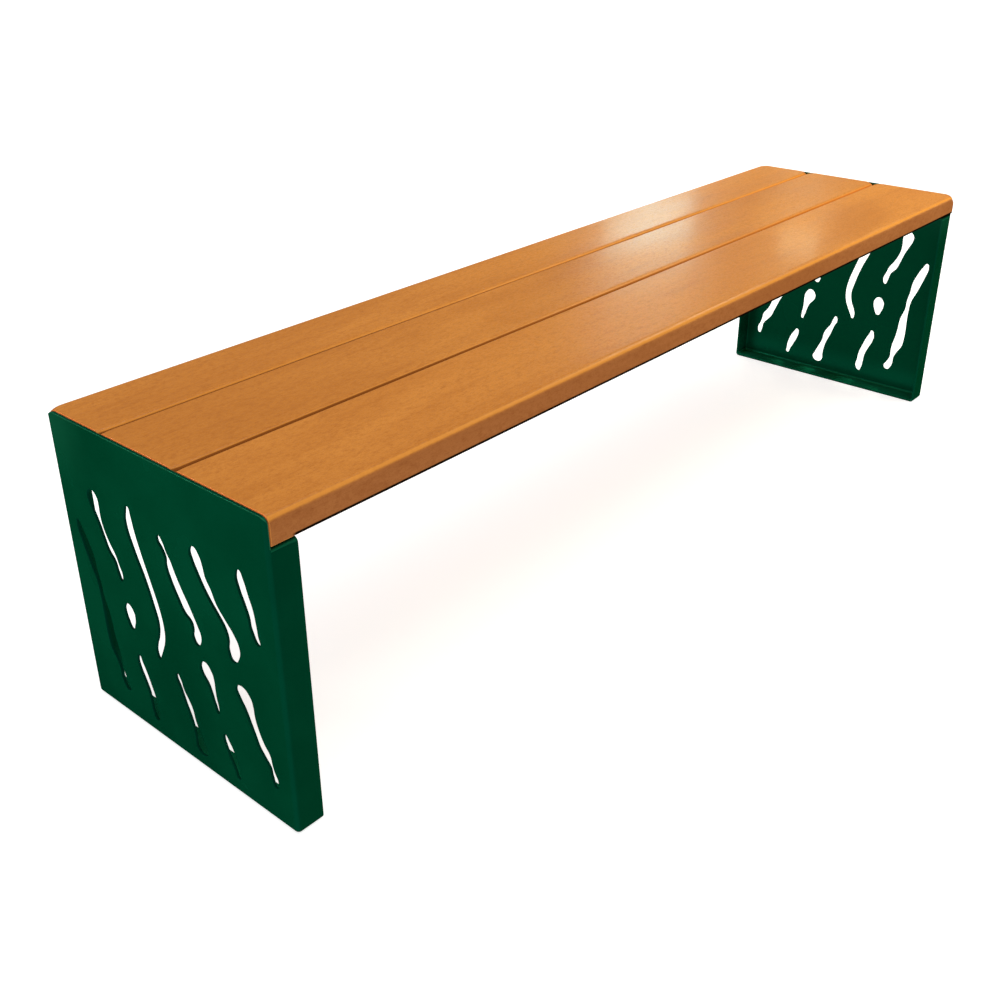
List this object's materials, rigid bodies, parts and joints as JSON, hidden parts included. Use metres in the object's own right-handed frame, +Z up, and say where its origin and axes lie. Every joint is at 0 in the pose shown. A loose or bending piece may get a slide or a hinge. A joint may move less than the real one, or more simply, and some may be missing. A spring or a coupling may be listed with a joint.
{
  "type": "backless bench",
  "caption": "Backless street bench: a seat of timber slats carried by folded sheet steel end panels with wavy cut-out slots.",
  "frame": {"origin": "on the ground, below the middle of the seat", "axes": "+X along the seat from the left end panel to the right one, +Y from the seat's front to its rear, +Z up"},
  "size_m": [1.8, 0.45, 0.45],
  "materials": {
    "green_powder_coat": "gloss dark green powder coat",
    "varnished_timber": "satin honey varnish",
    "black_rubber": "matt",
    "zinc_plated_steel": "bright zinc plate"
  },
  "bodies": {
    "root": {"left_end_panel": "green_powder_coat", "right_end_panel": "green_powder_coat", "slat_front": "varnished_timber", "slat_middle": "varnished_timber", "slat_rear": "varnished_timber", "left_pad_front": "black_rubber", "left_pad_middle": "black_rubber", "left_pad_rear": "black_rubber", "right_pad_front": "black_rubber", "right_pad_middle": "black_rubber", "right_pad_rear": "black_rubber", "centre_brace": "green_powder_coat", "left_screw_1": "zinc_plated_steel", "left_washer_1": "zinc_plated_steel", "left_screw_2": "zinc_plated_steel", "left_washer_2": "zinc_plated_steel", "left_screw_3": "zinc_plated_steel", "left_washer_3": "zinc_plated_steel", "left_screw_4": "zinc_plated_steel", "left_washer_4": "zinc_plated_steel", "left_screw_5": "zinc_plated_steel", "left_washer_5": "zinc_plated_steel", "left_screw_6": "zinc_plated_steel", "left_washer_6": "zinc_plated_steel", "right_screw_1": "zinc_plated_steel", "right_washer_1": "zinc_plated_steel", "right_screw_2": "zinc_plated_steel", "right_washer_2": "zinc_plated_steel", "right_screw_3": "zinc_plated_steel", "right_washer_3": "zinc_plated_steel", "right_screw_4": "zinc_plated_steel", "right_washer_4": "zinc_plated_steel", "right_screw_5": "zinc_plated_steel", "right_washer_5": "zinc_plated_steel", "right_screw_6": "zinc_plated_steel", "right_washer_6": "zinc_plated_steel", "brace_screw_1": "zinc_plated_steel", "brace_washer_1": "zinc_plated_steel", "brace_screw_2": "zinc_plated_steel", "brace_washer_2": "zinc_plated_steel", "brace_screw_3": "zinc_plated_steel", "brace_washer_3": "zinc_plated_steel", "brace_screw_4": "zinc_plated_steel", "brace_washer_4": "zinc_plated_steel", "brace_screw_5": "zinc_plated_steel", "brace_washer_5": "zinc_plated_steel", "brace_screw_6": "zinc_plated_steel", "brace_washer_6": "zinc_plated_steel"}
  },
  "joints": []
}
